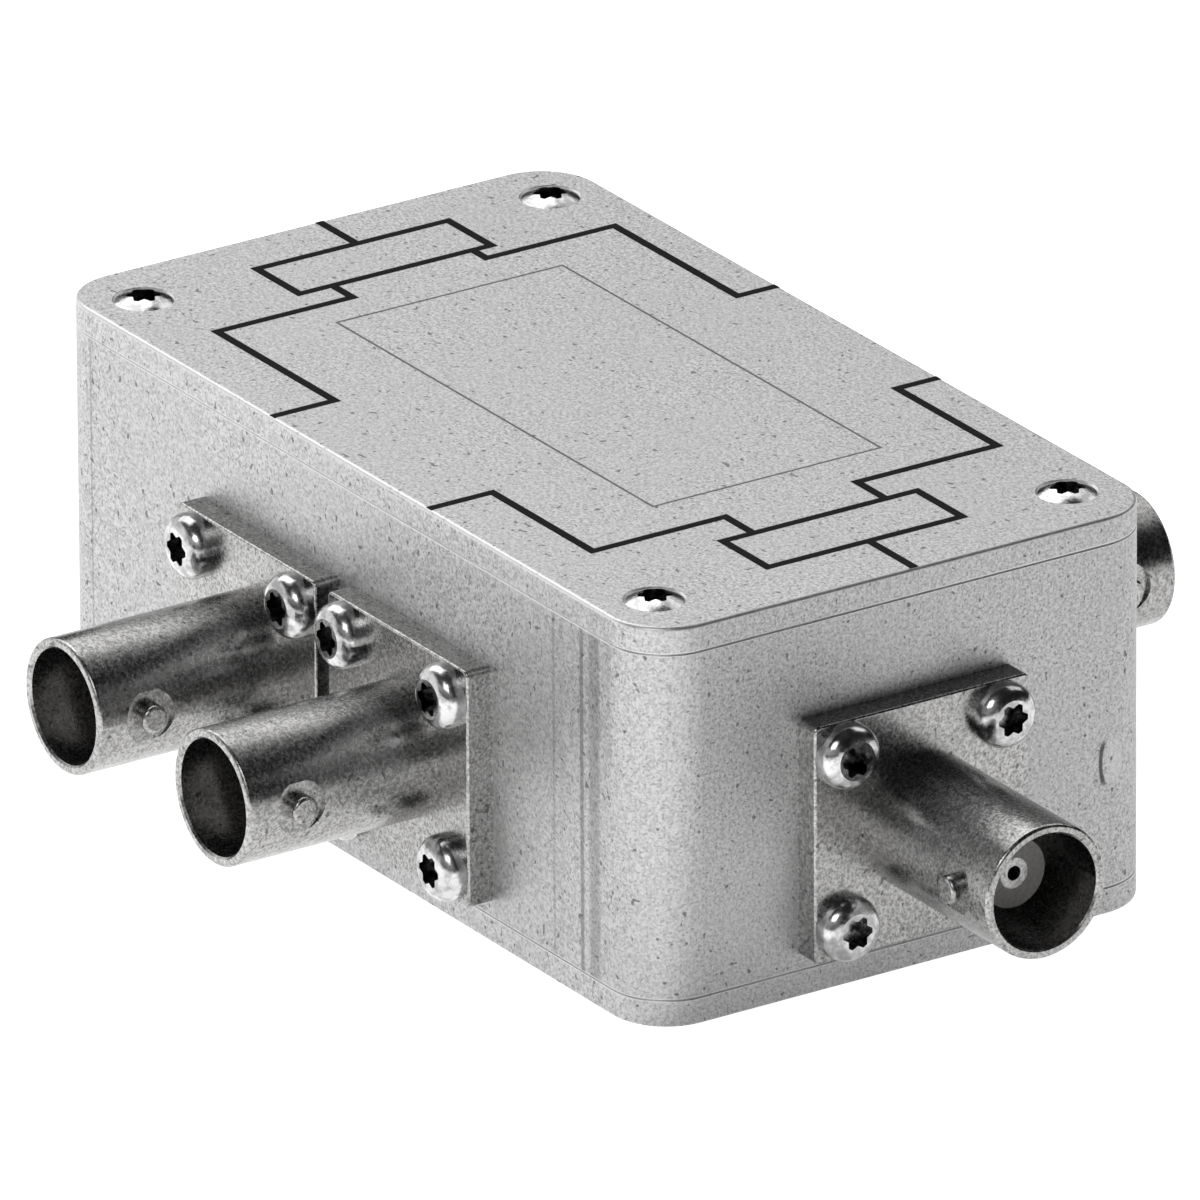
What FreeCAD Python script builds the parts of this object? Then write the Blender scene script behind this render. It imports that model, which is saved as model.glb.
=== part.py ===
"""A metal box with two one-in, two-out coaxial splitters side by side inside it.

Millimetres. The origin is the centre of the box's underside, +Z is up,
+X runs along the long side and -Y is the long side that faces the viewer.
"""
import os
from math import cos, hypot, pi, radians, sin

import FreeCAD, Part

V = FreeCAD.Vector
os.makedirs("parts", exist_ok=True)

# The box
BOX_LENGTH = 74.8
BOX_WIDTH = 42.0
BOX_HEIGHT = 29.4
BOX_CORNER_R = 4.4
COVER_THICK = 2.0
COVER_EDGE_R = 0.3
SEAM_EDGE_R = 0.12
WALL = 2.5
BODY_HEIGHT = BOX_HEIGHT - 2 * COVER_THICK

# The columns in the corners that the cover screws go into
COLUMN_INSET_X = 5.3
COLUMN_INSET_Y = 4.2
COLUMN_R = 3.5
COLUMN_X = BOX_LENGTH / 2 - COLUMN_INSET_X
COLUMN_Y = BOX_WIDTH / 2 - COLUMN_INSET_Y

# Screws: one thread for the covers and the sockets, a smaller one for the board
THREAD_R = 1.25
THREAD_CLEAR = 0.2
COVER_SCREW_LENGTH = 8.0
COVER_HEAD_R = 2.1
COVER_HEAD_SINK = 0.1
COVER_HEAD_DOME = 0.55
COVER_HEAD_LAND = 0.1
SOCKET_SCREW_LENGTH = 5.0
SOCKET_HEAD_R = 2.35
SOCKET_HEAD_H = 1.65
STAR_R = 1.2
STAR_INNER_R = 0.88
STAR_DEPTH = 1.1
BOARD_THREAD_R = 1.0
BOARD_SCREW_LENGTH = 5.0
BOARD_HEAD_R = 1.9
BOARD_HEAD_H = 1.5
TAPPED_SPARE = 1.0

# The coaxial sockets. Distances along the axis are measured outwards from the box face
SOCKET_SPACING = 19.0
SOCKET_HEIGHT = 11.8
FLANGE_SIDE = 17.5
FLANGE_THICK = 2.0
FLANGE_CORNER_R = 0.5
FLANGE_EDGE_R = 0.2
FLANGE_HOLE_PITCH = 12.7
BARREL_R = 4.85
BARREL_END = 17.0
BARREL_EDGE = 0.25
MOUTH_R = 4.15
MOUTH_CHAMFER = 0.15
BORE_FLOOR = 8.5
LUG_R = 1.0
LUG_REACH = 5.5
LUG_EDGE_R = 0.25
LUG_BACK = 4.1
LUG_SEAT_R = 1.95
LUG_SEAT_LEVEL = 4.5
SPIGOT_R = 4.3
SPIGOT_CLEAR = 0.1
SPIGOT_LENGTH = WALL + 0.5
CORE_R = 3.25
NOSE_R = 2.5
NOSE_BACK = 4.6
CONTACT_R = 1.1
CONTACT_BORE_R = 0.68
CONTACT_BORE_DEPTH = 6.0
PIN_R = 0.7
PIN_FLAT = 0.5
PIN_LENGTH = 7.2
CORE_END = SPIGOT_LENGTH + 0.2

# The circuit board rests on four ledges and carries the solder ends of the sockets
BOARD_THICK = 1.6
BOARD_GAP = 0.4
BOARD_EDGE_BACK = CORE_END + BOARD_GAP
BOARD_TOP = SOCKET_HEIGHT - PIN_FLAT
BOARD_UNDER = BOARD_TOP - BOARD_THICK
BOARD_HALF_X = BOX_LENGTH / 2 - BOARD_EDGE_BACK
BOARD_HALF_Y = BOX_WIDTH / 2 - BOARD_EDGE_BACK
LEDGE_INSET_X = 15.4
LEDGE_X = BOX_LENGTH / 2 - LEDGE_INSET_X
LEDGE_WIDTH = 5.6
LEDGE_REACH = 5.8
LEDGE_SCREW_INSET = 5.9
LEDGE_SCREW_Y = BOX_WIDTH / 2 - LEDGE_SCREW_INSET

# The parts on the board, one set for each splitter
FERRITE_SPAN = 7.2
FERRITE_LENGTH = 6.2
FERRITE_HEIGHT = 4.2
FERRITE_HOLE_R = 0.95
FERRITE_HOLE_PITCH = 3.1
WIRE = 0.42
WIRE_STEP = 0.54
WIRE_TURNS = 3
WIRE_OVERHANG = 0.9
SPLIT_X = SOCKET_SPACING / 2
MATCH_X = (SPLIT_X + BOARD_HALF_X) / 2
RESISTOR_X = 3.6
RESISTOR_R = 1.15
RESISTOR_LENGTH = 6.3
RESISTOR_LEAD_R = 0.3
RESISTOR_LEAD_OUT = 1.6
RESISTOR_LEAD_BELOW = 0.8

# Each port: name, the way it faces, its place along that face
PORTS = [
    ("in_a", "-x", 0.0),
    ("in_b", "+x", 0.0),
    ("out_a1", "-y", -SOCKET_SPACING / 2),
    ("out_a2", "+y", -SOCKET_SPACING / 2),
    ("out_b1", "-y", SOCKET_SPACING / 2),
    ("out_b2", "+y", SOCKET_SPACING / 2),
]


def cylinder(r, z0, z1, x=0.0, y=0.0):
    return Part.makeCylinder(r, z1 - z0, V(x, y, z0))


def block(x0, x1, y0, y1, z0, z1):
    return Part.makeBox(x1 - x0, y1 - y0, z1 - z0, V(x0, y0, z0))


def rounded_outline(length, width, r, z):
    """A wire: a rectangle about the origin with its four corners rounded."""
    hx, hy, s = length / 2, width / 2, r * (1 - cos(pi / 4))
    edges = []
    corners = [(1, 1), (-1, 1), (-1, -1), (1, -1)]
    for i, (a, b) in enumerate(corners):
        along = V(a * (hx - r), b * hy, z)
        down = V(a * hx, b * (hy - r), z)
        middle = V(a * (hx - s), b * (hy - s), z)
        first, last = (down, along) if a * b > 0 else (along, down)
        edges.append(Part.Arc(first, middle, last).toShape())
        c, d = corners[(i + 1) % 4]
        if b == d:
            edges.append(Part.LineSegment(last, V(c * (hx - r), b * hy, z)).toShape())
        else:
            edges.append(Part.LineSegment(last, V(a * hx, d * (hy - r), z)).toShape())
    return Part.Wire(edges)


def rounded_block(length, width, r, z0, z1):
    return Part.Face(rounded_outline(length, width, r, z0)).extrude(V(0, 0, z1 - z0))


def rims(shape, z):
    """The outline edges of a block that lie at height z."""
    return [e for e in shape.Edges if all(abs(v.Point.z - z) < 1e-6 for v in e.Vertexes)]


def star_prism(r_out, r_in, z0, z1):
    """A six-lobed driver socket with straight flanks."""
    points = []
    for i in range(12):
        r, a = (r_out if i % 2 == 0 else r_in), i * pi / 6
        points.append((r, a))
    wire = []
    for i in range(0, 12, 2):
        r, a = points[i]
        half = radians(8.5)
        wire.append(V(r * cos(a - half), r * sin(a - half), z0))
        wire.append(V(r * cos(a + half), r * sin(a + half), z0))
        r, a = points[i + 1]
        wire.append(V(r * cos(a), r * sin(a), z0))
    return Part.Face(Part.makePolygon(wire + wire[:1])).extrude(V(0, 0, z1 - z0))


def turned(profile):
    """Spin a list of (r, z) points, or ((r, z), (r, z)) arc steps, about the Z axis."""
    edges, here = [], None
    for step in profile:
        if isinstance(step[0], tuple):
            mid, end = step
            edges.append(Part.Arc(V(here[0], 0, here[1]), V(mid[0], 0, mid[1]),
                                  V(end[0], 0, end[1])).toShape())
            here = end
        else:
            if here is not None:
                edges.append(Part.LineSegment(V(here[0], 0, here[1]), V(step[0], 0, step[1])).toShape())
            here = step
    first = profile[0]
    if hypot(here[0] - first[0], here[1] - first[1]) > 1e-9:
        edges.append(Part.LineSegment(V(here[0], 0, here[1]), V(first[0], 0, first[1])).toShape())
    return Part.Face(Part.Wire(edges)).revolve(V(0, 0, 0), V(0, 0, 1), 360)


def port_matrix(facing, along):
    """Local x is level, local y is up and local z leaves the box at the given port."""
    hx, hy = BOX_LENGTH / 2, BOX_WIDTH / 2
    out, at = {
        "+x": (V(1, 0, 0), V(hx, along, SOCKET_HEIGHT)),
        "-x": (V(-1, 0, 0), V(-hx, along, SOCKET_HEIGHT)),
        "+y": (V(0, 1, 0), V(along, hy, SOCKET_HEIGHT)),
        "-y": (V(0, -1, 0), V(along, -hy, SOCKET_HEIGHT)),
    }[facing]
    up = V(0, 0, 1)
    level = up.cross(out)
    return FreeCAD.Matrix(level.x, up.x, out.x, at.x, level.y, up.y, out.y, at.y,
                          level.z, up.z, out.z, at.z, 0, 0, 0, 1)


def placed(shape, matrix):
    return shape.copy().transformed(matrix)


def corner_spots():
    return [(a * COLUMN_X, b * COLUMN_Y) for a in (1, -1) for b in (1, -1)]


def flange_spots():
    h = FLANGE_HOLE_PITCH / 2
    return [(a * h, b * h) for a in (1, -1) for b in (1, -1)]


def ledge_spots():
    return [(a * LEDGE_X, b) for a in (1, -1) for b in (1, -1)]


def body():
    """The frame of the box: four walls, corner columns, ledges and all the tapped holes."""
    z0, z1 = COVER_THICK, COVER_THICK + BODY_HEIGHT
    outside = rounded_block(BOX_LENGTH, BOX_WIDTH, BOX_CORNER_R, z0, z1)
    outside = outside.makeFillet(SEAM_EDGE_R, rims(outside, z0) + rims(outside, z1))
    inside = rounded_block(BOX_LENGTH - 2 * WALL, BOX_WIDTH - 2 * WALL, BOX_CORNER_R - WALL, z0, z1)
    columns = [cylinder(COLUMN_R, z0, z1, x, y) for x, y in corner_spots()]
    ledges = []
    wall_in = BOX_WIDTH / 2 - WALL
    for x, side in ledge_spots():
        near, far = sorted((side * (wall_in + WALL / 2), side * (wall_in - LEDGE_REACH)))
        ledges.append(block(x - LEDGE_WIDTH / 2, x + LEDGE_WIDTH / 2, near, far, z0, BOARD_UNDER))
    shell = outside.cut(inside).fuse([c.common(outside) for c in columns] + ledges).removeSplitter()
    cuts = []
    depth = COVER_SCREW_LENGTH - COVER_THICK + TAPPED_SPARE
    for x, y in corner_spots():
        cuts += [cylinder(THREAD_R, z1 - depth, z1, x, y), cylinder(THREAD_R, z0, z0 + depth, x, y)]
    for x, side in ledge_spots():
        cuts.append(cylinder(BOARD_THREAD_R, BOARD_TOP - BOARD_SCREW_LENGTH - TAPPED_SPARE, BOARD_UNDER,
                             x, side * LEDGE_SCREW_Y))
    for _, facing, along in PORTS:
        m = port_matrix(facing, along)
        cuts.append(placed(cylinder(SPIGOT_R + SPIGOT_CLEAR, -WALL - 0.5, 1.0), m))
        for u, v in flange_spots():
            cuts.append(placed(cylinder(THREAD_R, -WALL - 0.5, 1.0, u, v), m))
    return shell.cut(cuts)


def cover(top):
    """A flat cover plate; the sunk seats match the cone under the screw heads."""
    z0 = BOX_HEIGHT - COVER_THICK if top else 0.0
    z1 = z0 + COVER_THICK
    plate = rounded_block(BOX_LENGTH, BOX_WIDTH, BOX_CORNER_R, z0, z1)
    outer_z, seam_z = (z1, z0) if top else (z0, z1)
    plate = plate.makeFillet(COVER_EDGE_R, rims(plate, outer_z))
    plate = plate.makeFillet(SEAM_EDGE_R, rims(plate, seam_z))
    hole_r = THREAD_R + THREAD_CLEAR
    mouth_r = COVER_HEAD_R + COVER_HEAD_SINK
    for x, y in corner_spots():
        deep = mouth_r - hole_r
        if top:
            seat = Part.makeCone(hole_r, mouth_r, deep, V(x, y, z1 - deep))
        else:
            seat = Part.makeCone(mouth_r, hole_r, deep, V(x, y, z0))
        plate = plate.cut([cylinder(hole_r, z0, z1, x, y), seat])
    return plate


def sunk_screw(raised):
    """Sunk-head screw, domed or flat: z = 0 is the cover's outer face, the point is at -length."""
    r, sink = COVER_HEAD_R, COVER_HEAD_SINK
    neck = -sink - (r - THREAD_R)
    profile = [(0, -COVER_SCREW_LENGTH), (THREAD_R, -COVER_SCREW_LENGTH), (THREAD_R, neck), (r, -sink)]
    if raised:
        top = COVER_HEAD_DOME - sink
        profile.append(((r * 0.55, top - COVER_HEAD_DOME * 0.27), (0, top)))
    else:
        top = COVER_HEAD_LAND - sink
        profile += [(r, top), (0, top)]
    return turned(profile).cut(star_prism(STAR_R, STAR_INNER_R, top - STAR_DEPTH, top + 0.5))


def cover_screws(top):
    one = sunk_screw(top)
    if not top:
        one = one.rotated(V(0, 0, 0), V(1, 0, 0), 180)
    z = BOX_HEIGHT if top else 0.0
    return Part.Compound([one.translated(V(x, y, z)) for x, y in corner_spots()])


def pan_screw(thread_r, length, head_r, head_h, star_r, star_in, star_deep):
    """Pan-head screw: z = 0 is under the head, the point is at -length."""
    solid = turned([(0, -length), (thread_r, -length), (thread_r, 0), (head_r, 0),
                    (head_r, head_h * 0.28),
                    ((head_r * 0.88, head_h * 0.76), (head_r * 0.6, head_h)), (0, head_h)])
    return solid.cut(star_prism(star_r, star_in, head_h - star_deep, head_h + 0.5))


def socket_screws():
    one = pan_screw(THREAD_R, SOCKET_SCREW_LENGTH, SOCKET_HEAD_R, SOCKET_HEAD_H,
                    STAR_R, STAR_INNER_R, STAR_DEPTH)
    screws = []
    for _, facing, along in PORTS:
        m = port_matrix(facing, along)
        for u, v in flange_spots():
            screws.append(placed(one.translated(V(u, v, FLANGE_THICK)), m))
    return Part.Compound(screws)


def board_screws():
    one = pan_screw(BOARD_THREAD_R, BOARD_SCREW_LENGTH, BOARD_HEAD_R, BOARD_HEAD_H,
                    STAR_R * 0.73, STAR_INNER_R * 0.73, STAR_DEPTH * 0.7)
    return Part.Compound([one.translated(V(x, side * LEDGE_SCREW_Y, BOARD_TOP))
                          for x, side in ledge_spots()])


def socket_shell():
    """Square flange, barrel with two bayonet lugs on round flats, and the spigot in the wall."""
    e, c = BARREL_EDGE, MOUTH_CHAMFER
    tube = turned([(CORE_R, -SPIGOT_LENGTH), (SPIGOT_R, -SPIGOT_LENGTH), (SPIGOT_R, 0.0),
                   (BARREL_R, 0.0), (BARREL_R, BARREL_END - e),
                   ((BARREL_R - e * 0.3, BARREL_END - e * 0.3), (BARREL_R - e, BARREL_END)),
                   (MOUTH_R + c, BARREL_END), (MOUTH_R, BARREL_END - c),
                   (MOUTH_R, BORE_FLOOR), (CORE_R, BORE_FLOOR)])
    flange = rounded_block(FLANGE_SIDE, FLANGE_SIDE, FLANGE_CORNER_R, 0.0, FLANGE_THICK)
    flange = flange.makeFillet(FLANGE_EDGE_R, rims(flange, FLANGE_THICK))
    flange = flange.cut([cylinder(SPIGOT_R, 0.0, FLANGE_THICK)]
                        + [cylinder(THREAD_R + THREAD_CLEAR, 0.0, FLANGE_THICK, u, v) for u, v in flange_spots()])
    shell = tube.fuse(flange)
    z = BARREL_END - LUG_BACK
    for side in (1, -1):
        seat = Part.makeCylinder(LUG_SEAT_R, BARREL_R, V(side * LUG_SEAT_LEVEL, 0, z), V(side, 0, 0))
        shell = shell.cut(seat)
    for side in (1, -1):
        start = (MOUTH_R + LUG_SEAT_LEVEL) / 2
        lug = Part.makeCylinder(LUG_R, LUG_REACH - start, V(side * start, 0, z), V(side, 0, 0))
        tip = [e for e in lug.Edges if abs(e.CenterOfMass.x - side * LUG_REACH) < 1e-6]
        lug = lug.makeFillet(LUG_EDGE_R, tip)
        shell = shell.fuse(lug)
    return shell.removeSplitter()


def socket_insulator():
    return turned([(PIN_R, -CORE_END), (CORE_R, -CORE_END), (CORE_R, BORE_FLOOR), (NOSE_R, BORE_FLOOR),
                   (NOSE_R, BARREL_END - NOSE_BACK), (CONTACT_R, BARREL_END - NOSE_BACK),
                   (CONTACT_R, 0.0), (PIN_R, 0.0)])


def socket_contact():
    """Spring tube in front, solder pin behind with a flat that lies on the board."""
    front = BARREL_END - NOSE_BACK
    pin = turned([(0, -PIN_LENGTH), (PIN_R, -PIN_LENGTH), (PIN_R, 0.0), (CONTACT_R, 0.0),
                  (CONTACT_R, front), (CONTACT_BORE_R, front),
                  (CONTACT_BORE_R, front - CONTACT_BORE_DEPTH), (0, front - CONTACT_BORE_DEPTH)])
    flat = block(-PIN_R - 0.5, PIN_R + 0.5, -PIN_R - 0.5, -PIN_FLAT, -PIN_LENGTH - 1.0, -CORE_END)
    return pin.cut(flat)


def circuit_board():
    board = block(-BOARD_HALF_X, BOARD_HALF_X, -BOARD_HALF_Y, BOARD_HALF_Y, BOARD_UNDER, BOARD_TOP)
    cuts = [cylinder(COLUMN_R + BOARD_GAP, BOARD_UNDER, BOARD_TOP, x, y) for x, y in corner_spots()]
    cuts += [block(*sorted((x, x + a * 9)), *sorted((y, y + b * 9)), BOARD_UNDER, BOARD_TOP)
             for x, y, a, b in ((a * COLUMN_X, b * COLUMN_Y, a, b) for a in (1, -1) for b in (1, -1))]
    cuts += [cylinder(BOARD_THREAD_R + THREAD_CLEAR, BOARD_UNDER, BOARD_TOP, x, side * LEDGE_SCREW_Y)
             for x, side in ledge_spots()]
    for side in (1, -1):
        for y in resistor_lead_spots():
            cuts.append(cylinder(RESISTOR_LEAD_R, BOARD_UNDER, BOARD_TOP, side * RESISTOR_X, y))
    return board.cut(cuts)


def resistor_lead_spots():
    y = RESISTOR_LENGTH / 2 + RESISTOR_LEAD_OUT
    return (y, -y)


def ferrite(x, side):
    """Two-hole ferrite block; the holes run level, along the box."""
    core = block(-FERRITE_SPAN / 2, FERRITE_SPAN / 2, -FERRITE_LENGTH / 2, FERRITE_LENGTH / 2,
                 0, FERRITE_HEIGHT)
    upright = [e for e in core.Edges if abs(e.tangentAt(e.FirstParameter).y) > 0.99]
    core = core.makeFillet(FERRITE_HEIGHT * 0.3, upright)
    for side in (1, -1):
        hole = Part.makeCylinder(FERRITE_HOLE_R, FERRITE_LENGTH,
                                 V(side * FERRITE_HOLE_PITCH / 2, -FERRITE_LENGTH / 2, FERRITE_HEIGHT / 2),
                                 V(0, 1, 0))
        core = core.cut(hole)
    core = core.rotated(V(0, 0, 0), V(0, 0, 1), side * 90)
    return core.translated(V(x, 0, BOARD_TOP))


def winding(x, side):
    """Level loops through both holes of a ferrite and two legs down to the board."""
    reach = FERRITE_LENGTH / 2 + WIRE_OVERHANG
    outer_x = FERRITE_HOLE_PITCH / 2 + WIRE / 2
    inner_x = FERRITE_HOLE_PITCH / 2 - WIRE / 2
    first = FERRITE_HEIGHT / 2 - WIRE_STEP * (WIRE_TURNS - 1) / 2 - WIRE / 2
    pieces = []
    for i in range(WIRE_TURNS):
        z = first + i * WIRE_STEP
        loop = rounded_block(2 * outer_x, 2 * reach, WIRE * 1.6, z, z + WIRE)
        loop = loop.cut(rounded_block(2 * inner_x, 2 * (reach - WIRE), WIRE * 0.6, z, z + WIRE))
        pieces.append(loop)
    top = first + (WIRE_TURNS - 1) * WIRE_STEP + WIRE
    for side in (1, -1):
        leg_x = side * inner_x * 0.5
        pieces.append(block(leg_x - WIRE / 2, leg_x + WIRE / 2, -reach - WIRE * 0.5, -reach + WIRE * 0.5, 0, top))
    coil = pieces[0].fuse(pieces[1:]).removeSplitter()
    coil = coil.rotated(V(0, 0, 0), V(0, 0, 1), side * 90)
    return coil.translated(V(x, 0, BOARD_TOP))


def resistor(x):
    """Level resistor body with a lead at each end, bent down through the board."""
    z = BOARD_TOP + RESISTOR_R
    half = RESISTOR_LENGTH / 2
    shape = Part.makeCylinder(RESISTOR_R, RESISTOR_LENGTH, V(x, -half, z), V(0, 1, 0))
    for y in resistor_lead_spots():
        side = 1 if y > 0 else -1
        level = Part.makeCylinder(RESISTOR_LEAD_R, RESISTOR_LEAD_OUT, V(x, side * half, z), V(0, side, 0))
        bend = Part.makeSphere(RESISTOR_LEAD_R, V(x, y, z))
        down = cylinder(RESISTOR_LEAD_R, BOARD_UNDER - RESISTOR_LEAD_BELOW, z, x, y)
        shape = shape.fuse([level, bend, down])
    return shape.removeSplitter()


def all_parts():
    parts = {
        "body": body(),
        "top_cover": cover(True),
        "bottom_cover": cover(False),
        "top_cover_screws": cover_screws(True),
        "bottom_cover_screws": cover_screws(False),
        "socket_screws": socket_screws(),
        "circuit_board": circuit_board(),
        "board_screws": board_screws(),
    }
    shell, core, contact = socket_shell(), socket_insulator(), socket_contact()
    for name, facing, along in PORTS:
        m = port_matrix(facing, along)
        parts["socket_%s_shell" % name] = placed(shell, m)
        parts["socket_%s_insulator" % name] = placed(core, m)
        parts["socket_%s_contact" % name] = placed(contact, m)
    for letter, side in (("a", -1), ("b", 1)):
        for use, x in (("match", side * MATCH_X), ("split", side * SPLIT_X)):
            parts["ferrite_%s_%s" % (use, letter)] = ferrite(x, side)
            parts["winding_%s_%s" % (use, letter)] = winding(x, side)
        parts["resistor_" + letter] = resistor(side * RESISTOR_X)
    return parts


for name, shape in all_parts().items():
    shape.exportStep("parts/%s.step" % name)
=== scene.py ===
"""Looks for a metal box with coaxial bayonet sockets on its four sides.

Lengths are millimetres and are turned into metres by mm(). The frame's nodes keep their own meshes
and get finishes here, except the sockets' insulators and contacts: copies of them, which stand a
little nearer the mouths, take their place. The print on the cover is made of two pieces.
"""
from math import cos, radians, sin

import bmesh
import bpy
from mathutils import Matrix, Vector


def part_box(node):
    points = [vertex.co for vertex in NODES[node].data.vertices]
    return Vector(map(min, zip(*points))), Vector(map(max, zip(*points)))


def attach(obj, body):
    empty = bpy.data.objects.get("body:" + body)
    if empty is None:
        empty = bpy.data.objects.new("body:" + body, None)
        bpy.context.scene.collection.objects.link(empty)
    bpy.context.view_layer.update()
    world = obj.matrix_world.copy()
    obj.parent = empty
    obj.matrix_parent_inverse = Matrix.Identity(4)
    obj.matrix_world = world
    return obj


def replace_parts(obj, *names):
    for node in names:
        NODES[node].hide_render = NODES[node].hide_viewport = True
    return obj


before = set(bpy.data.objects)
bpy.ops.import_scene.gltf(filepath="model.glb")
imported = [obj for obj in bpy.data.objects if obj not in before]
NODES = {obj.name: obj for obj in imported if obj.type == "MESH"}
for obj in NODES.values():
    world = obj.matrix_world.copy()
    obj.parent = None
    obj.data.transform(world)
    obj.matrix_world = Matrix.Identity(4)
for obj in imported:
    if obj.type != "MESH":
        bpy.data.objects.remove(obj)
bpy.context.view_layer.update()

COVER_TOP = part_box("top_cover")[1].z
BODY_LOW, BODY_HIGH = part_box("body")
LID_SCREWS_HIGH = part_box("top_cover_screws")[1]
SCREWS_LOW, SCREWS_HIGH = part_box("socket_screws")

PORTS = ["in_a", "in_b", "out_a1", "out_a2", "out_b1", "out_b2"]
OUTWARD = {"in_a": (-1, 0, 0), "in_b": (1, 0, 0), "out_a1": (0, -1, 0), "out_a2": (0, 1, 0),
           "out_b1": (0, -1, 0), "out_b2": (0, 1, 0)}


def mm(value):
    return value / 1000.0


# ---------------------------------------------------------------------------------------------
# Shader maths
# ---------------------------------------------------------------------------------------------
class Amount:
    """A number that varies over a surface. Arithmetic on it adds Math nodes."""

    def __init__(self, finish, socket):
        self.finish, self.socket = finish, socket

    def math(self, operation, *values):
        sockets = {i: v for i, v in enumerate((self,) + values)}
        return self.finish.node("ShaderNodeMath", {"operation": operation}, sockets).amount()

    def __add__(self, other):
        return self.math("ADD", other)

    def __radd__(self, other):
        return self.math("ADD", other)

    def __sub__(self, other):
        return self.math("SUBTRACT", other)

    def __rsub__(self, other):
        return self.finish.number(other).math("SUBTRACT", self)

    def __mul__(self, other):
        return self.math("MULTIPLY", other)

    def __rmul__(self, other):
        return self.math("MULTIPLY", other)

    def __truediv__(self, other):
        return self.math("DIVIDE", other)

    def __abs__(self):
        return self.math("ABSOLUTE")

    def above(self, level):
        return self.math("GREATER_THAN", level)

    def root(self):
        return self.math("SQRT")

    def least(self, other):
        return self.math("MINIMUM", other)

    def most(self, other):
        return self.math("MAXIMUM", other)

    def ramp(self, low, high):
        """0 below low, 1 above high, smooth between."""
        return self.finish.node("ShaderNodeMapRange",
                                {"interpolation_type": "SMOOTHSTEP", "clamp": True},
                                {"Value": self, "From Min": low, "From Max": high}).amount()


class Node:
    """A shader node with its outputs at hand."""

    def __init__(self, finish, node):
        self.finish, self.node = finish, node

    def out(self, name=0):
        return self.node.outputs[name]

    def amount(self, name=0):
        return Amount(self.finish, self.out(name))


class Finish:
    """A material, or the node tree that is given, built from nodes that all come from node()."""

    def __init__(self, name, tree=None):
        if tree is None:
            self.material = bpy.data.materials.new(name)
            self.material.use_nodes = True
            tree = self.material.node_tree
        self.tree = tree
        tree.nodes.clear()

    def node(self, kind, settings=None, sockets=None):
        made = self.tree.nodes.new(kind)
        for key, value in (settings or {}).items():
            setattr(made, key, value)
        for key, value in (sockets or {}).items():
            self.feed(made.inputs[key], value)
        return Node(self, made)

    def feed(self, socket, value):
        if isinstance(value, Amount):
            value = value.socket
        elif isinstance(value, Node):
            value = value.out()
        if isinstance(value, bpy.types.NodeSocket):
            self.tree.links.new(value, socket)
        else:
            socket.default_value = value

    def number(self, value):
        if isinstance(value, Amount):
            return value
        return self.node("ShaderNodeMath", {"operation": "ADD"}, {0: value, 1: 0.0}).amount()

    def place(self):
        return self.node("ShaderNodeTexCoord").out("Object")

    def axes(self, place):
        split = self.node("ShaderNodeSeparateXYZ", None, {"Vector": place})
        return split.amount("X"), split.amount("Y"), split.amount("Z")

    def noise(self, place, size_mm, detail=2.0, rough=0.5):
        """Soft noise whose blobs are about size_mm across."""
        return self.node("ShaderNodeTexNoise", {"noise_dimensions": "3D"},
                         {"Vector": place, "Scale": 1000.0 / size_mm, "Detail": detail,
                          "Roughness": rough}).amount("Fac")

    def mix(self, factor, first, second):
        """One colour into another by factor."""
        return self.node("ShaderNodeMix", {"data_type": "RGBA", "clamp_factor": True},
                         {0: factor, 6: first, 7: second}).out(2)

    def bump(self, height, distance_mm, strength):
        return self.node("ShaderNodeBump", None, {"Height": height, "Distance": mm(distance_mm),
                                                  "Strength": strength}).out("Normal")

    def surface(self, **sockets):
        """The main shader, wired to the output. Names use _ for a space."""
        fed = {key.replace("_", " "): value for key, value in sockets.items()}
        shader = self.node("ShaderNodeBsdfPrincipled", None, fed)
        self.node("ShaderNodeOutputMaterial", None, {"Surface": shader})
        return self.material


def grey(level, warm=0.0):
    return (level * (1 + warm), level, level * (1 - warm), 1.0)


def away(first, second):
    """Distance from the axis where both are 0."""
    return (first * first + second * second).root()


def paint(material, *nodes):
    for name in nodes:
        slots = NODES[name].data.materials
        slots.clear()
        slots.append(material)


# ---------------------------------------------------------------------------------------------
# Painted light and shade that lie at set places on the aluminium
# ---------------------------------------------------------------------------------------------
# A shallow oval beside the socket on each short wall, shown only by painted light and shade:
# middle, half width, half height and depth.
# FADE, EDGE_AT, EDGE_SHIFT and the rest are shares of the half width or half height
MARK_Y, MARK_Z = 17.1, 11.3
MARK_WIDE, MARK_HIGH = 0.8, 2.1
MARK_SKIN = 1.2
MARK_FADE = (0.75, 1.0)
MARK_EDGE_SHIFT, MARK_EDGE_AT, MARK_EDGE_FADE = 0.35, 1.05, (0.10, 0.28)
MARK_EDGE_LEFT, MARK_EDGE_ENDS = -0.1, (0.6, 0.9)

# Dark upright lines down the long walls; the ones just before the rounded corners are painted
# shade where the walls start to curve: middle, width, depth of tone
UPRIGHT_LINES = [(29.40, 0.50, 0.50), (30.95, 1.50, 0.34), (25.95, 0.34, 0.26), (26.9, 0.5, 0.08),
             (18.9, 0.5, 0.08), (-32.45, 0.26, 0.34)]
# A line is full within LINE_CORE of its width from its middle and gone from LINE_RIM on
LINE_CORE, LINE_RIM = 0.25, 0.6
WALL_SKIN = (0.25, 0.1)
STREAK_MM, STREAK_FADE, STREAK_DEPTH = 1.1, (0.35, 0.72), 0.03

# Where the painted highlight on the top cover's rounded edge lies below its top, and how far it
# reaches on the lips of the seams
EDGE_LOW, EDGE_HIGH = (0.30, 0.22), (0.03, 0.01)
LIP_FADE = (0.11, 0.16)


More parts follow.
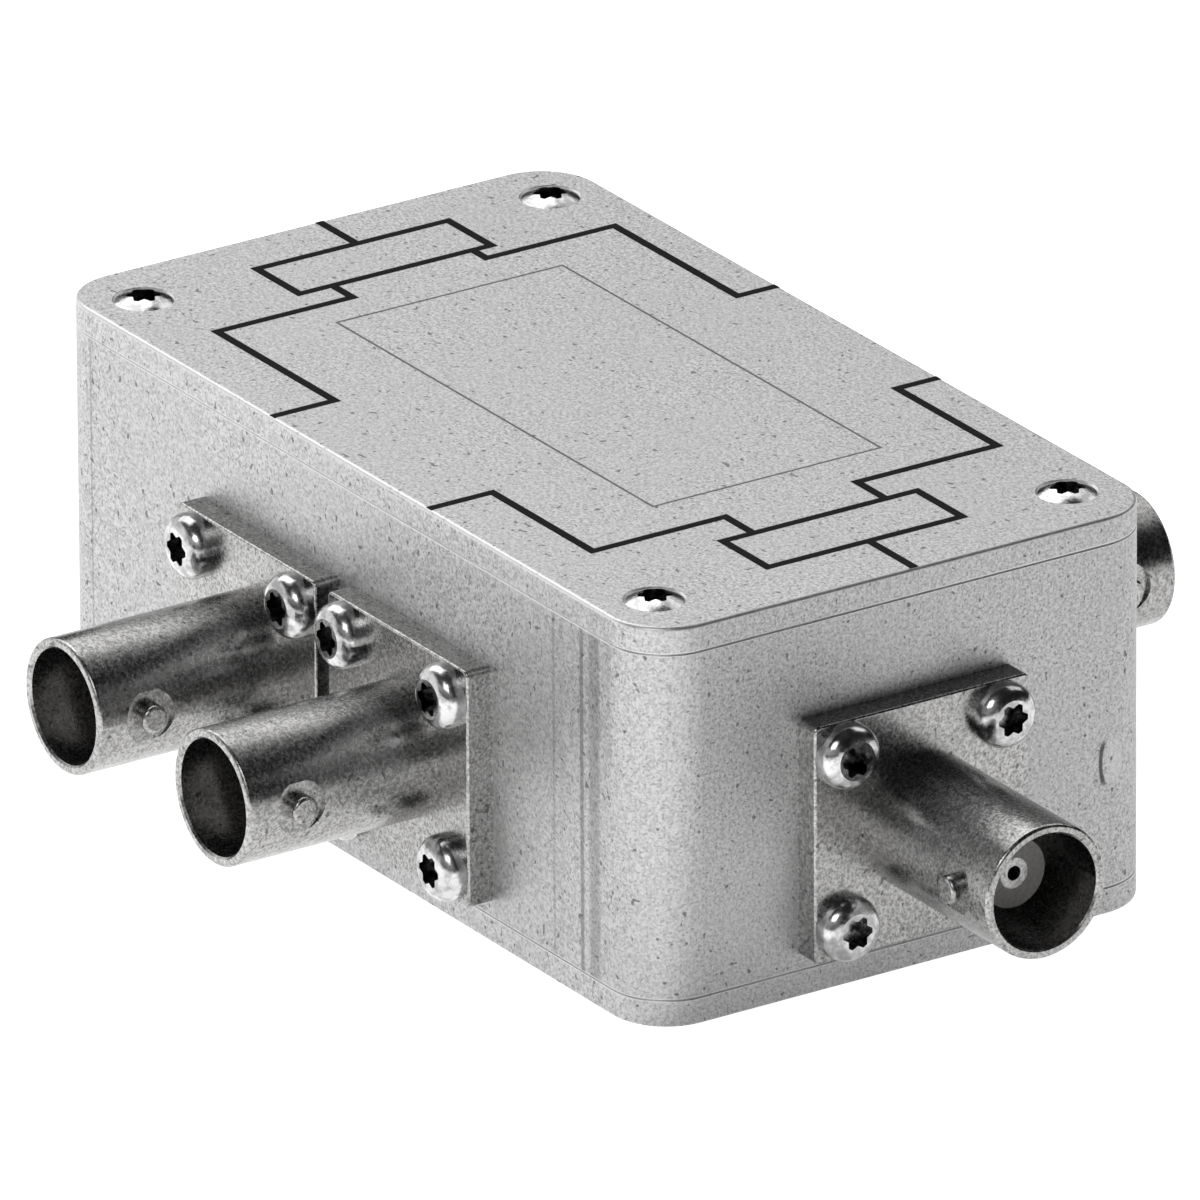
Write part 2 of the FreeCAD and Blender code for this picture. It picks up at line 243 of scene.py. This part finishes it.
def oval_light_and_shade(f, place):
    """Painted light and shade for a shallow oval: a pale inside and a dark left edge, the same on
    both short walls when they are faced.
    """
    x, y, z = f.axes(place)
    side = x.above(0.0) * 2.0 - 1.0
    across = (y * side - mm(MARK_Y)) / mm(MARK_WIDE)
    along = (z - mm(MARK_Z)) / mm(MARK_HIGH)
    on_wall = abs(x).above(BODY_HIGH.x - mm(MARK_SKIN))
    pale = 1.0 - away(across, along).ramp(*MARK_FADE)
    ring = abs(away(across + MARK_EDGE_SHIFT, along) - MARK_EDGE_AT)
    edge = (1.0 - ring.ramp(*MARK_EDGE_FADE)) * (MARK_EDGE_LEFT - across).above(0.0)
    return pale * on_wall, edge * on_wall * (1.0 - abs(along).ramp(*MARK_EDGE_ENDS))


def shade_lines_and_streaks(f, place):
    """Dark upright lines near the ends of the long walls, painted shade where they lie by the
    rounded corners, with faint streaks; the back has them turned about.
    """
    x, y, z = f.axes(place)
    along = x * (1.0 - 2.0 * y.above(0.0))
    shade = None
    for middle, width, depth in UPRIGHT_LINES:
        near = 1.0 - abs(along - mm(middle)).ramp(mm(width * LINE_CORE), mm(width * LINE_RIM))
        shade = near * depth if shade is None else shade.most(near * depth)
    skin_from, skin_full = WALL_SKIN
    on_long_wall = abs(y).ramp(BODY_HIGH.y - mm(skin_from), BODY_HIGH.y - mm(skin_full))
    flat = f.node("ShaderNodeCombineXYZ", None, {"X": x, "Y": y}).out()
    streaks = f.noise(flat, STREAK_MM, **CLOUDY).ramp(*STREAK_FADE)
    return (shade * on_long_wall + streaks * STREAK_DEPTH).least(1.0)


def rim_highlight_mask(f, place):
    """1 on the seams' lips and the top cover's rounded edge, where a paler grey paints a
    highlight.
    """
    x, y, z = f.axes(place)
    edge = z.ramp(*(COVER_TOP - mm(depth) for depth in EDGE_LOW))
    painted_rim_light = edge * (1.0 - z.ramp(*(COVER_TOP - mm(depth) for depth in EDGE_HIGH)))
    for seam in (BODY_LOW.z, BODY_HIGH.z):
        painted_rim_light = painted_rim_light.most(1.0 - abs(z - seam).ramp(*(mm(reach) for reach in LIP_FADE)))
    return painted_rim_light


# ---------------------------------------------------------------------------------------------
# Finishes
# ---------------------------------------------------------------------------------------------
# _MM: size of a noise. _FADE: the noise's value where a mark starts to show and where it shows
# fully. _MIX: how much of the mark's grey is mixed in. DARK, PALE and a mark's plain name: that
# grey, as a share of the finish's own level. _BUMP: depth in millimetres and strength
NOISE_MIDDLE = 0.5
CLOUDY = {"detail": 3.0, "rough": 0.6}
MOTTLED = {"detail": 3.0, "rough": 0.55}
GRAIN_MM, FINE_GRAIN_MM, SPECK_MM, PIT_MM, CLOUD_MM = 0.32, 0.17, 0.19, 0.45, 14.0
COARSE_PART, FINE_PART = 0.55, 0.45

CASE_TONE_FADE, CASE_DARK, CASE_PALE = (0.33, 0.67), 0.78, 1.22
CASE_SPECK_FADE, CASE_SPECK_MIX, CASE_SPECK = (0.57, 0.75), 0.60, 0.35
CASE_CLOUD_FADE, CASE_CLOUD_MIX, CASE_CLOUD = (0.35, 0.65), 0.25, 0.93
CASE_PIT_FADE, CASE_PIT_MIX, CASE_PIT = (0.76, 0.80), 0.7, 0.2
# Greys for the painted shade of the upright lines, and for the oval's painted light and its edge's
# painted shade
UPRIGHT_LINE_DARK, OVAL_MIX, OVAL_PAINTED_LIGHT, OVAL_EDGE_MIX, OVAL_PAINTED_SHADE = 0.12, 0.4, 1.25, 0.85, 0.08
# Painted highlight on the rims and the seams' lips: its mix, its paler grey, and how much smoother
# they are
RIM_HIGHLIGHT_MIX, RIM_HIGHLIGHT, RIM_SMOOTHER = 0.7, 1.36, 0.10
CASE_ROUGH_SWING, PIT_ROUGHER = 0.25, 0.1
CASE_PIT_DEPTH, CASE_BUMP = 1.5, (0.012, 0.5)

STEEL_PATCH_MM, STEEL_GRAIN_MM = 0.9, 0.2
STEEL_FADE, STEEL_DARK, STEEL_PALE = (0.36, 0.64), 0.62, 1.12
# Painted shade in the screws' driver recesses, mottled between these greys
RECESS_FADE, RECESS_SHADE_DARK, RECESS_SHADE_PALE = (0.42, 0.6), 0.06, 0.34
STEEL_ROUGH_SWING, STEEL_ROUGH_GRAIN = 0.25, 0.15
STEEL_PATCH_BUMP, STEEL_GRAIN_BUMP, STEEL_BUMP = 0.7, 0.3, (0.03, 0.5)

PLATE_CLOUD_MM, PLATE_CLOUD_FADE, PLATE_CLOUD_MIX = 2.6, (0.35, 0.7), 0.12
PLATE_FADE, PLATE_DARK, PLATE_PALE = (0.30, 0.70), 0.60, 1.36
PLATE_PIT_FADE, PLATE_PIT_MIX, PLATE_PIT = (0.755, 0.79), 0.8, 0.3
PLATE_WARM, PLATE_WARM_PALE = 0.012, 0.008
PLATE_ROUGH_CLOUD, PLATE_ROUGH_SWING = 0.12, 0.2
PLATE_MARK_BUMP, PLATE_CLOUD_BUMP, PLATE_BUMP = 0.7, 0.3, (0.012, 0.35)

MOTTLE_MM, MOTTLE_FADE, MOTTLE_ROUGH_SWING, MOTTLE_BUMP = 0.3, (0.3, 0.7), 0.15, (0.01, 0.4)
INK_WEAR_MM, INK_FADE, INK_BUMP = 0.3, (0.35, 0.75), (0.006, 0.4)
PALE_INK_FADE, PALE_INK_BUMP = (0.3, 0.7), (0.004, 0.4)
INK_ROUGH_SWING, INK_SPECULAR = 0.2, 0.08


def metal_grain(f, place):
    """Two sizes of even grain in one."""
    coarse = f.noise(place, GRAIN_MM, detail=1.0)
    fine = f.noise(place, FINE_GRAIN_MM, detail=0.0)
    return coarse * COARSE_PART + fine * FINE_PART


def blasted_aluminium(name, level, roughness, metallic, painted_shading_and_streaks=False):
    """Fine blasted, clear-coated aluminium: even grain, sparse dark pits, faint broad clouding."""
    f = Finish(name)
    place = f.place()
    tone = metal_grain(f, place)
    clouds = f.noise(place, CLOUD_MM)
    specks = f.noise(place, SPECK_MM, detail=0.0).ramp(*CASE_SPECK_FADE)
    pits = f.noise(place, PIT_MM, detail=0.0).ramp(*CASE_PIT_FADE)
    colour = f.mix(tone.ramp(*CASE_TONE_FADE), grey(level * CASE_DARK), grey(level * CASE_PALE))
    colour = f.mix(specks * CASE_SPECK_MIX, colour, grey(level * CASE_SPECK))
    clouding = clouds.ramp(*CASE_CLOUD_FADE) * CASE_CLOUD_MIX
    colour = f.mix(clouding, colour, grey(level * CASE_CLOUD))
    if painted_shading_and_streaks:
        # Painted shade: dark upright lines by the rounded corners of the long walls, with faint
        # streaks
        colour = f.mix(shade_lines_and_streaks(f, place), colour, grey(level * UPRIGHT_LINE_DARK))
        # Painted light and shade for a shallow oval: a pale inside with a dark left edge
        pale, edge = oval_light_and_shade(f, place)
        colour = f.mix(pale * OVAL_MIX, colour, grey(level * OVAL_PAINTED_LIGHT))
        colour = f.mix(edge * OVAL_EDGE_MIX, colour, grey(level * OVAL_PAINTED_SHADE))
    colour = f.mix(pits * CASE_PIT_MIX, colour, grey(level * CASE_PIT))
    # Painted highlight: the rims and the seams' lips are paler and a little smoother
    painted_rim_light = rim_highlight_mask(f, place)
    colour = f.mix(painted_rim_light * RIM_HIGHLIGHT_MIX, colour, grey(level * RIM_HIGHLIGHT))
    rough = roughness + (tone - NOISE_MIDDLE) * CASE_ROUGH_SWING + pits * PIT_ROUGHER
    rough = rough - painted_rim_light * RIM_SMOOTHER
    normal = f.bump(tone - pits * CASE_PIT_DEPTH, *CASE_BUMP)
    return f.surface(Base_Color=colour, Metallic=metallic, Roughness=rough, Normal=normal)


# A socket's screws stand in a square of HOLE_PITCH, and a long wall's sockets SOCKET_GAP apart.
# A driver recess reaches STAR_REACH from its screw's axis and starts STAR_BELOW the head's top
STAR_REACH = 1.24
SUNK_HEAD_R = 2.1
SOCKET_GAP = 19.0
HOLE_PITCH = 12.7
SOCKET_Z = (SCREWS_LOW.z + SCREWS_HIGH.z) / 2.0
STAR_BELOW, SUNK_STAR_BELOW = 0.03, 0.16


def star_recess(f, place):
    """1 inside the screws' driver recesses, where shade is painted, 0 on the heads."""
    x, y, z = f.axes(place)
    pitch, inside = mm(HOLE_PITCH / 2), mm(STAR_REACH)
    up = abs(z - SOCKET_Z) - pitch
    on_long = away(abs(abs(x) - mm(SOCKET_GAP / 2)) - pitch, up)
    on_short = away(abs(y) - pitch, up)
    on_lid = away(abs(x) - (LID_SCREWS_HIGH.x - mm(SUNK_HEAD_R)),
                  abs(y) - (LID_SCREWS_HIGH.y - mm(SUNK_HEAD_R)))
    below = mm(STAR_BELOW)
    long_wall = (SCREWS_HIGH.y - below - abs(y)).above(0.0) * abs(y).above(BODY_HIGH.y)
    short_wall = (SCREWS_HIGH.x - below - abs(x)).above(0.0) * abs(x).above(BODY_HIGH.x)
    lid = (LID_SCREWS_HIGH.z - mm(SUNK_STAR_BELOW) - z).above(0.0) * z.above(BODY_HIGH.z)
    recess = long_wall * (inside - on_long).above(0.0)
    recess = recess.most(short_wall * (inside - on_short).above(0.0))
    return recess.most(lid * (inside - on_lid).above(0.0))


def turned_steel(name, level, roughness):
    """Handled screw metal: mottled plate, a grainy sheen and painted shade in the driver recesses.
    """
    f = Finish(name)
    place = f.place()
    patches = f.noise(place, STEEL_PATCH_MM, **CLOUDY)
    grain = f.noise(place, STEEL_GRAIN_MM, detail=1.0)
    tone = f.mix(patches.ramp(*STEEL_FADE), grey(level * STEEL_DARK), grey(level * STEEL_PALE))
    # Painted shade: the driver recesses are dark
    recess_shade = f.mix(patches.ramp(*RECESS_FADE), grey(RECESS_SHADE_DARK), grey(RECESS_SHADE_PALE))
    colour = f.mix(star_recess(f, place), tone, recess_shade)
    rough = roughness + (patches - NOISE_MIDDLE) * STEEL_ROUGH_SWING
    rough = rough + (grain - NOISE_MIDDLE) * STEEL_ROUGH_GRAIN
    normal = f.bump(patches * STEEL_PATCH_BUMP + grain * STEEL_GRAIN_BUMP, *STEEL_BUMP)
    return f.surface(Base_Color=colour, Metallic=1.0, Roughness=rough, Normal=normal)


def bright_plate(name, level, roughness):
    """Plated, lightly handled metal with fine grain and tiny pits."""
    f = Finish(name)
    place = f.place()
    clouds = f.noise(place, PLATE_CLOUD_MM, **CLOUDY)
    marks = metal_grain(f, place)
    pits = f.noise(place, PIT_MM, detail=0.0).ramp(*PLATE_PIT_FADE)
    plate = f.mix(marks.ramp(*PLATE_FADE), grey(level * PLATE_DARK, PLATE_WARM),
                  grey(level * PLATE_PALE, PLATE_WARM_PALE))
    dull = pits * PLATE_PIT_MIX + clouds.ramp(*PLATE_CLOUD_FADE) * PLATE_CLOUD_MIX
    colour = f.mix(dull, plate, grey(level * PLATE_PIT, PLATE_WARM))
    rough = roughness + (clouds - NOISE_MIDDLE) * PLATE_ROUGH_CLOUD
    rough = rough + (marks - NOISE_MIDDLE) * PLATE_ROUGH_SWING
    normal = f.bump(marks * PLATE_MARK_BUMP + clouds * PLATE_CLOUD_BUMP - pits, *PLATE_BUMP)
    return f.surface(Base_Color=colour, Metallic=1.0, Roughness=rough, Normal=normal)


def moulded(name, colour, dark, roughness, size_mm=MOTTLE_MM):
    """Moulded or dipped matter with a faint mottle."""
    f = Finish(name)
    place = f.place()
    mottle = f.noise(place, size_mm, **MOTTLED)
    tint = f.mix(mottle.ramp(*MOTTLE_FADE), dark + (1.0,), colour + (1.0,))
    rough = roughness + (mottle - NOISE_MIDDLE) * MOTTLE_ROUGH_SWING
    return f.surface(Base_Color=tint, Roughness=rough, Normal=f.bump(mottle, *MOTTLE_BUMP))


def ink(name, dark, pale, fade, roughness, bump, **sockets):
    """Printed ink, a little worn."""
    f = Finish(name)
    place = f.place()
    worn = f.noise(place, INK_WEAR_MM, **CLOUDY)
    return f.surface(Base_Color=f.mix(worn.ramp(*fade), grey(dark), grey(pale)),
                     Roughness=roughness + (worn - NOISE_MIDDLE) * INK_ROUGH_SWING,
                     Normal=f.bump(worn, *bump), **sockets)


case_finish = blasted_aluminium("case_aluminium", level=0.54, roughness=0.46, metallic=0.8,
                                painted_shading_and_streaks=True)
cover_finish = blasted_aluminium("cover_aluminium", level=0.58, roughness=0.50, metallic=0.8)
screw_finish = turned_steel("screw_steel", level=0.60, roughness=0.21)
socket_finish = bright_plate("socket_nickel", level=0.37, roughness=0.26)
insulator_finish = moulded("insulator_plastic", (0.50, 0.49, 0.47), (0.36, 0.35, 0.33), 0.45, 0.22)
contact_finish = bright_plate("contact_silver", level=0.44, roughness=0.35)
board_finish = moulded("board_green", (0.03, 0.16, 0.06), (0.02, 0.11, 0.04), 0.35, 1.2)
ferrite_finish = moulded("ferrite_dark", (0.05, 0.05, 0.055), (0.03, 0.03, 0.033), 0.6, 0.4)
wire_finish = moulded("wire_enamel", (0.45, 0.16, 0.05), (0.36, 0.11, 0.03), 0.3, 0.2)
resistor_finish = moulded("resistor_coat", (0.16, 0.32, 0.45), (0.12, 0.26, 0.38), 0.35, 0.4)

paint(case_finish, "body")
paint(cover_finish, "top_cover", "bottom_cover")
paint(screw_finish, "top_cover_screws", "bottom_cover_screws", "socket_screws", "board_screws")
for port in PORTS:
    paint(socket_finish, "socket_%s_shell" % port)
    paint(insulator_finish, "socket_%s_insulator" % port)
    paint(contact_finish, "socket_%s_contact" % port)
paint(board_finish, "circuit_board")
for letter in "ab":
    for use in ("match", "split"):
        paint(ferrite_finish, "ferrite_%s_%s" % (use, letter))
        paint(wire_finish, "winding_%s_%s" % (use, letter))
    paint(resistor_finish, "resistor_%s" % letter)


def finished(name, bm, material):
    """A piece from a bmesh, in place, riding on the body."""
    mesh = bpy.data.meshes.new(name)
    bm.to_mesh(mesh)
    bm.free()
    piece = bpy.data.objects.new(name, mesh)
    bpy.context.scene.collection.objects.link(piece)
    mesh.materials.append(material)
    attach(piece, "root")
    return piece


# ---------------------------------------------------------------------------------------------
# The insulators' noses and the contacts stand a little nearer the mouths than the solids do
# ---------------------------------------------------------------------------------------------
NOSE_FORWARD = 0.7
WELD, FRONT_SKIN = 0.001, 0.05
BORE_R, BORE_DEPTH = 0.68, 6.0
BORE_R_SPARE, BORE_DEPTH_SPARE = 0.03, 0.1
BORE_NARROWED = 0.78
SHARP_ANGLE = 30


def nearer_mouth(node, name, outward, material, narrow=False):
    """A copy of a socket's inner part with its front face moved towards the mouth."""
    bm = bmesh.new()
    bm.from_mesh(NODES[node].data)
    bmesh.ops.remove_doubles(bm, verts=bm.verts, dist=mm(WELD))
    front = max(v.co.dot(outward) for v in bm.verts)
    front_verts = [v for v in bm.verts if v.co.dot(outward) > front - mm(FRONT_SKIN)]
    bmesh.ops.translate(bm, verts=front_verts, vec=outward * mm(NOSE_FORWARD))
    if narrow:
        middle = sum((v.co for v in front_verts), Vector()) / len(front_verts)
        near_axis, deepest = mm(BORE_R + BORE_R_SPARE), front - mm(BORE_DEPTH + BORE_DEPTH_SPARE)
        for v in bm.verts:
            off = (v.co - middle) - outward * (v.co - middle).dot(outward)
            if off.length < near_axis and v.co.dot(outward) > deepest:
                v.co -= off * (1.0 - BORE_NARROWED)
    for edge in bm.edges:
        edge.smooth = edge.calc_face_angle(0.0) < radians(SHARP_ANGLE)
    for face in bm.faces:
        face.smooth = True
    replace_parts(finished(name, bm, material), node)


for port in PORTS:
    outward = Vector(OUTWARD[port])
    nearer_mouth("socket_%s_insulator" % port, "nose_%s" % port, outward, insulator_finish)
    nearer_mouth("socket_%s_contact" % port, "centre_%s" % port, outward, contact_finish,
                 narrow=True)

# ---------------------------------------------------------------------------------------------
# The print on the cover: the circuit's lines and a thin empty frame
# ---------------------------------------------------------------------------------------------
LINE, THIN_LINE = 0.68, 0.18
INK = 0.012
EDGE_X, EDGE_Y = 37.26, 20.86
LEFT_BOX = (-32.40, -26.90, -7.33, 8.50)
RIGHT_BOX = (26.25, 31.75, -7.42, 8.41)
FRAME_BOX = (-21.09, 18.54, -8.02, 10.60)
INPUT_LEFT_Y, INPUT_RIGHT_Y = 0.93, 0.79
# Each route leaves its box's inner side and ends at the cover's edge
LEFT_FRONT = [(-26.90, -4.64), (-24.32, -4.64), (-24.32, -15.77), (-9.35, -15.77),
              (-9.35, -EDGE_Y)]
LEFT_BACK = [(-26.90, 6.94), (-25.13, 6.94), (-25.13, 17.56), (-9.63, 17.56), (-9.63, EDGE_Y)]
RIGHT_BACK = [(26.25, 5.88), (22.70, 5.88), (22.70, 17.40), (10.41, 17.40), (10.41, EDGE_Y)]
RIGHT_FRONT = [(26.25, -4.94), (22.79, -4.94), (22.79, -15.71), (10.35, -15.71),
               (10.35, -EDGE_Y)]


def ink_run(bm, corners, width, closed=False):
    """A flat ink line with mitred corners, one thin slab a run, half of it above the cover."""
    count = len(corners)
    sides = []
    for i, here in enumerate(corners):
        before = corners[i - 1] if closed or i else None
        after = corners[(i + 1) % count] if closed or i + 1 < count else None
        normals = []
        for start, end in ((before, here), (here, after)):
            if start is not None and end is not None:
                run = (Vector(end) - Vector(start)).normalized()
                normals.append(Vector((-run.y, run.x)))
        lean = normals[0] if len(normals) == 1 else normals[0] + normals[1]
        if len(normals) == 2:
            lean = lean / lean.dot(normals[0])
        sides.append((Vector(here) + lean * width / 2, Vector(here) - lean * width / 2))
    low, high = COVER_TOP - mm(INK), COVER_TOP + mm(INK)
    rows = [[bm.verts.new((mm(p.x), mm(p.y), z)) for z in (low, high) for p in pair]
            for pair in sides]
    for i in range(count if closed else count - 1):
        (a, b, a_top, b_top), (d, c, d_top, c_top) = rows[i], rows[(i + 1) % count]
        for face in ((a, d, c, b), (b_top, c_top, d_top, a_top), (a, a_top, d_top, d),
                     (b, c, c_top, b_top)):
            bm.faces.new(face)
    if not closed:
        a, b, a_top, b_top = rows[0]
        d, c, d_top, c_top = rows[-1]
        bm.faces.new((a, b, b_top, a_top))
        bm.faces.new((d, d_top, c_top, c))


def box_corners(box):
    x0, x1, y0, y1 = box
    return [(x0, y0), (x1, y0), (x1, y1), (x0, y1)]


lines = bmesh.new()
for box in (LEFT_BOX, RIGHT_BOX):
    ink_run(lines, box_corners(box), LINE, closed=True)
ink_run(lines, [(-EDGE_X, INPUT_LEFT_Y), (LEFT_BOX[0] - LINE / 2, INPUT_LEFT_Y)], LINE)
ink_run(lines, [(RIGHT_BOX[1] + LINE / 2, INPUT_RIGHT_Y), (EDGE_X, INPUT_RIGHT_Y)], LINE)
for side, route in ((1, LEFT_FRONT), (1, LEFT_BACK), (-1, RIGHT_BACK), (-1, RIGHT_FRONT)):
    start = (route[0][0] + side * LINE / 2, route[0][1])
    ink_run(lines, [start] + route[1:], LINE)
finished("circuit_print", lines, ink("printed_ink", 0.006, 0.016, INK_FADE, 0.7, INK_BUMP,
                                     Specular_IOR_Level=INK_SPECULAR))

frame_lines = bmesh.new()
ink_run(frame_lines, box_corners(FRAME_BOX), THIN_LINE, closed=True)
finished("frame_print", frame_lines, ink("pale_ink", 0.10, 0.18, PALE_INK_FADE, 0.5,
                                         PALE_INK_BUMP))

# ---------------------------------------------------------------------------------------------
# Floor: white to the camera and in reflections, plain matte to everything else
# ---------------------------------------------------------------------------------------------
FLOOR_SIDE = 6000.0
FLOOR_BELOW = 0.02
FLOOR_TONE = 0.62
FLOOR_GLOW = 1.0
# In reflections the floor carries painted light and shade: brighter in front than behind, a
# painted shadow beside the right wall, where the box stands, and a painted pool of light by the
# front right corner
FRONT_Y, BACK_Y = -55.0, 15.0
FRONT_GLOW, BACK_GLOW = 1.14, 0.86
CONTACT_FROM, CONTACT_TO, CONTACT_SHADOW_DEPTH = 1.0, 16.0, 0.48
CONTACT_UNDER = 2.0
CONTACT_FADE_FROM, CONTACT_FADE_TO = -6.0, 22.0
CORNER_FROM, CORNER_TO = -3.0, 4.0
CORNER_X_FROM, CORNER_X_TO = -3.0, 6.0
CORNER_GLOW = 0.24

floor_bm = bmesh.new()
bmesh.ops.create_grid(floor_bm, x_segments=1, y_segments=1, size=mm(FLOOR_SIDE / 2))
bmesh.ops.translate(floor_bm, verts=floor_bm.verts, vec=(0, 0, -mm(FLOOR_BELOW)))
floor_mesh = bpy.data.meshes.new("floor")
floor_bm.to_mesh(floor_mesh)
floor_bm.free()
floor = bpy.data.objects.new("floor", floor_mesh)
bpy.context.scene.collection.objects.link(floor)

pale_floor = Finish("pale_floor")
matte = pale_floor.node("ShaderNodeBsdfDiffuse", None, {"Color": grey(FLOOR_TONE)})
floor_x, floor_y = pale_floor.axes(pale_floor.place())[:2]
backward = floor_y.ramp(mm(FRONT_Y), mm(BACK_Y))
past_corner = floor_y.ramp(BODY_LOW.y + mm(CORNER_FROM), BODY_LOW.y + mm(CORNER_TO))
# Painted shadow in the floor's reflected glow beside the right wall
beside = 1.0 - (floor_x - BODY_HIGH.x).ramp(mm(CONTACT_FROM), mm(CONTACT_TO))
beside = beside * floor_x.above(BODY_HIGH.x - mm(CONTACT_UNDER)) * past_corner
beside = beside * (1.0 - floor_y.ramp(mm(CONTACT_FADE_FROM), mm(CONTACT_FADE_TO)))
returned = FRONT_GLOW + (BACK_GLOW - FRONT_GLOW) * backward
returned = returned * (1.0 - beside * CONTACT_SHADOW_DEPTH)
# Painted pool of light in the floor's reflected glow by the front right corner
right_of_box = floor_x.ramp(BODY_HIGH.x + mm(CORNER_X_FROM), BODY_HIGH.x + mm(CORNER_X_TO))
returned = returned + right_of_box * (1.0 - past_corner) * CORNER_GLOW
path = pale_floor.node("ShaderNodeLightPath")
mirrored = path.amount("Is Glossy Ray")
seen = path.amount("Is Camera Ray").most(mirrored).most(path.amount("Is Transmission Ray"))
glow = pale_floor.node("ShaderNodeEmission", None, {
    "Color": grey(1.0), "Strength": FLOOR_GLOW + (returned - FLOOR_GLOW) * mirrored})
both = pale_floor.node("ShaderNodeAddShader", None, {0: matte, 1: glow})
pick = pale_floor.node("ShaderNodeMixShader", None, {0: seen, 1: matte, 2: both})
pale_floor.node("ShaderNodeOutputMaterial", None, {"Surface": pick})
floor.data.materials.append(pale_floor.material)

# ---------------------------------------------------------------------------------------------
# World: a dark room with a bright card to the front left and a softer one in front
# ---------------------------------------------------------------------------------------------
WALL_LIGHT, CEILING_LIGHT = 0.02, 0.03
CEILING_FROM, CEILING_FULL = 0.50, 0.90
CARD_X, CARD_Y = -0.82, -0.57
CARD_FROM, CARD_FULL, CARD_TOP, CARD_LIGHT = 0.62, 0.82, 0.50, 1.0
FRONT_FROM, FRONT_FULL, FRONT_BASE, FRONT_TOP, FRONT_LIGHT = 0.05, 0.45, 0.08, 0.42, 0.40
FRONT_RIGHT_FROM, FRONT_RIGHT_FULL, FRONT_RIGHT_LESS = 0.1, 0.6, 0.4
CARD_FADE = 0.12

world = bpy.data.worlds.new("studio")
bpy.context.scene.world = world
world.use_nodes = True
sky = Finish("studio", world.node_tree)
path = sky.node("ShaderNodeLightPath")
straight = path.amount("Is Camera Ray").most(path.amount("Is Transmission Ray"))
sky_x, sky_y, height = sky.axes(sky.node("ShaderNodeTexCoord").out("Generated"))
ceiling = height.ramp(CEILING_FROM, CEILING_FULL)
room_level = WALL_LIGHT + (CEILING_LIGHT - WALL_LIGHT) * ceiling
card = (sky_x * CARD_X + sky_y * CARD_Y).ramp(CARD_FROM, CARD_FULL) * height.above(0.0)
card = card * (1.0 - height.ramp(CARD_TOP, CARD_TOP + CARD_FADE))
low = height.ramp(FRONT_BASE, FRONT_BASE + CARD_FADE)
low = low * (1.0 - height.ramp(FRONT_TOP, FRONT_TOP + CARD_FADE))
to_right = sky_x.ramp(FRONT_RIGHT_FROM, FRONT_RIGHT_FULL)
front = (-1.0 * sky_y).ramp(FRONT_FROM, FRONT_FULL) * low * (1.0 - to_right * FRONT_RIGHT_LESS)
room_level = room_level + (card * CARD_LIGHT).most(front * FRONT_LIGHT)
room = sky.node("ShaderNodeBackground", None, {"Color": grey(1.0),
                                               "Strength": straight.most(room_level)})
sky.node("ShaderNodeOutputWorld", None, {"Surface": room})


# ---------------------------------------------------------------------------------------------
# Lamps and camera
# ---------------------------------------------------------------------------------------------
def soft_lamp(name, place, target, wide, high, power):
    """A soft panel lamp at place, aimed at target; millimetres and watts."""
    lamp = bpy.data.lights.new(name, "AREA")
    lamp.shape = "RECTANGLE"
    lamp.size, lamp.size_y = mm(wide), mm(high)
    lamp.energy = power
    holder = bpy.data.objects.new(name, lamp)
    spot = Vector([mm(v) for v in place])
    aim = Vector([mm(v) for v in target])
    turn = (spot - aim).to_track_quat("Z", "Y").to_matrix().to_4x4()
    holder.matrix_world = Matrix.Translation(spot) @ turn
    bpy.context.scene.collection.objects.link(holder)


soft_lamp("lamp_window", (-370, 0, 493), (0, 0, 20), 485, 530, 1.8)
soft_lamp("lamp_behind", (-199, 375, 444), (0, 0, 20), 750, 390, 1.1)
soft_lamp("lamp_front", (270, -370, 372), (0, 0, 15), 250, 200, 0.6)

# The camera is far away with a long lens and no shift, as the photograph shows
AZIMUTH, ELEVATION, ROLL = radians(56.818), radians(22.924), radians(-0.312)
DISTANCE = 1984.5
TARGET = Vector((1.668, -1.321, 15.0))
LENS, SENSOR = 866.44, 36.0
SIGHT = 100.0
back = Vector((sin(AZIMUTH) * cos(ELEVATION), -cos(AZIMUTH) * cos(ELEVATION), sin(ELEVATION)))
right = Vector((cos(AZIMUTH), sin(AZIMUTH), 0.0))
up = back.cross(right)
right, up = right * cos(ROLL) + up * sin(ROLL), up * cos(ROLL) - right * sin(ROLL)
eye = (TARGET + back * DISTANCE) / 1000.0
camera_data = bpy.data.cameras.new("camera")
camera_data.sensor_fit = "HORIZONTAL"
camera_data.sensor_width = SENSOR
camera_data.lens = LENS
camera_data.clip_end = SIGHT
camera = bpy.data.objects.new("camera", camera_data)
camera.matrix_world = Matrix.Translation(eye) @ Matrix((right, up, back)).transposed().to_4x4()
bpy.context.scene.collection.objects.link(camera)
bpy.context.scene.camera = camera
bpy.context.scene.view_settings.view_transform = "Standard"
